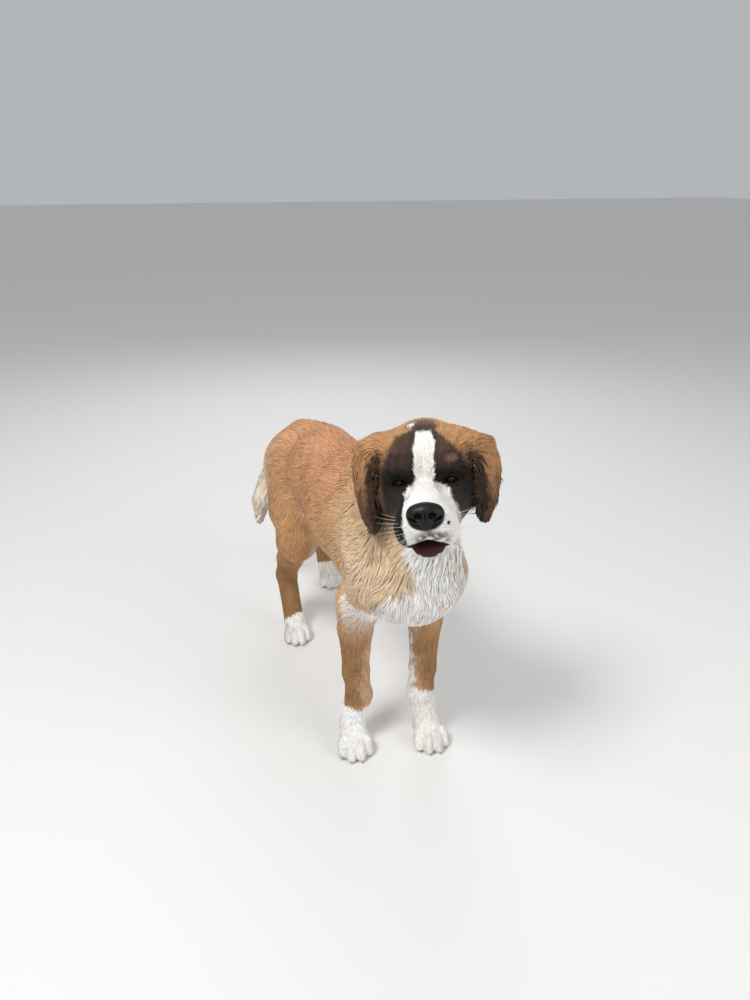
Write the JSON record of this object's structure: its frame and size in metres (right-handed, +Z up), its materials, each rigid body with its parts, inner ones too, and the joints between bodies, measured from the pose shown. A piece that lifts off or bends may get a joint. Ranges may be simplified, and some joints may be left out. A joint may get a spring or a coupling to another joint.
{
  "type": "saint bernard",
  "caption": "Life-size still model of a young Saint Bernard dog standing on all fours, head turned to its right, mouth slightly open.",
  "frame": {"origin": "middle of the whole model's box, on the floor that the four paws stand on", "axes": "+Z up, +Y from the head towards the tail, +X to the dog's left"},
  "size_m": [0.2828, 1.1282, 0.7721],
  "materials": {
    "coat_head": "short dense fur, dark brown mask with a white blaze and orange-brown crown",
    "coat_neck": "long soft fur, golden tan turning cream and white on the chest",
    "coat_back": "plush wavy fur, reddish tan",
    "coat_legs": "medium fur, tan, longer at the back of the thighs",
    "coat_feet": "short white fur",
    "coat_tail": "long bushy fur, tan and cream white",
    "coat_ears": "soft wavy fur, orange-brown with dark front edges",
    "coat_chin": "short white fur with dark lip edges",
    "nose_leather": "moist black pebbled skin",
    "tongue": "moist pink skin",
    "eye": "wet glossy dark brown eye"
  },
  "bodies": {
    "root": {"foreleg_left": "coat_legs", "shoulder_left": "coat_legs", "forepaw_left": "coat_feet", "hindleg_left": "coat_legs", "thigh_left": "coat_legs", "hindpaw_left": "coat_feet", "foreleg_right": "coat_legs", "shoulder_right": "coat_legs", "forepaw_right": "coat_feet", "hindleg_right": "coat_legs", "thigh_right": "coat_legs", "hindpaw_right": "coat_feet", "tail": "coat_tail", "hindquarters": "coat_back", "neck": "coat_neck", "torso": "coat_back", "tongue": "tongue", "nose": "nose_leather", "jaw_lower": "coat_chin", "eye_left": "eye", "eye_right": "eye", "head": "coat_head", "ear_left": "coat_ears", "ear_right": "coat_ears"}
  },
  "joints": []
}
